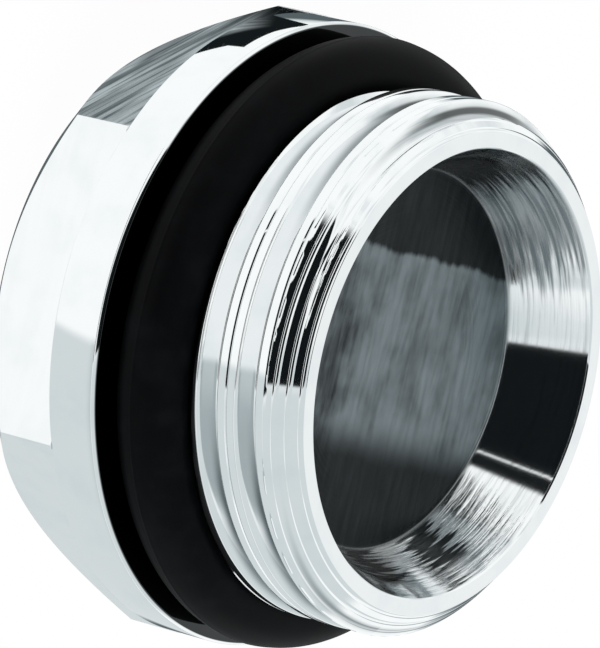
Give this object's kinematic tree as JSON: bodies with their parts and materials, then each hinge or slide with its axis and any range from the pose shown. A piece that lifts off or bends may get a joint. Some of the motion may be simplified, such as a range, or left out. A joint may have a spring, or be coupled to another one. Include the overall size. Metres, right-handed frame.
{
  "type": "manifold end plug",
  "caption": "Chrome-plated hexagon-head end plug with a round collar, a sealing ring in a groove and a short hollow threaded shank that closes the end of a heating manifold.",
  "frame": {"origin": "centre of the head's flat rear face, on which the plug stands", "axes": "+Z along the plug's axis towards the threaded end; two hexagon corners lie on the X axis and two flats face along Y"},
  "size_m": [0.0248, 0.0246, 0.0143],
  "materials": {
    "plated_brass": "bright chrome plate over turned brass, with fine turning marks in the hollow",
    "seal_rubber": "satin black moulded rubber"
  },
  "bodies": {
    "root": {"plug_body": "plated_brass", "o_ring": "seal_rubber"}
  },
  "joints": []
}
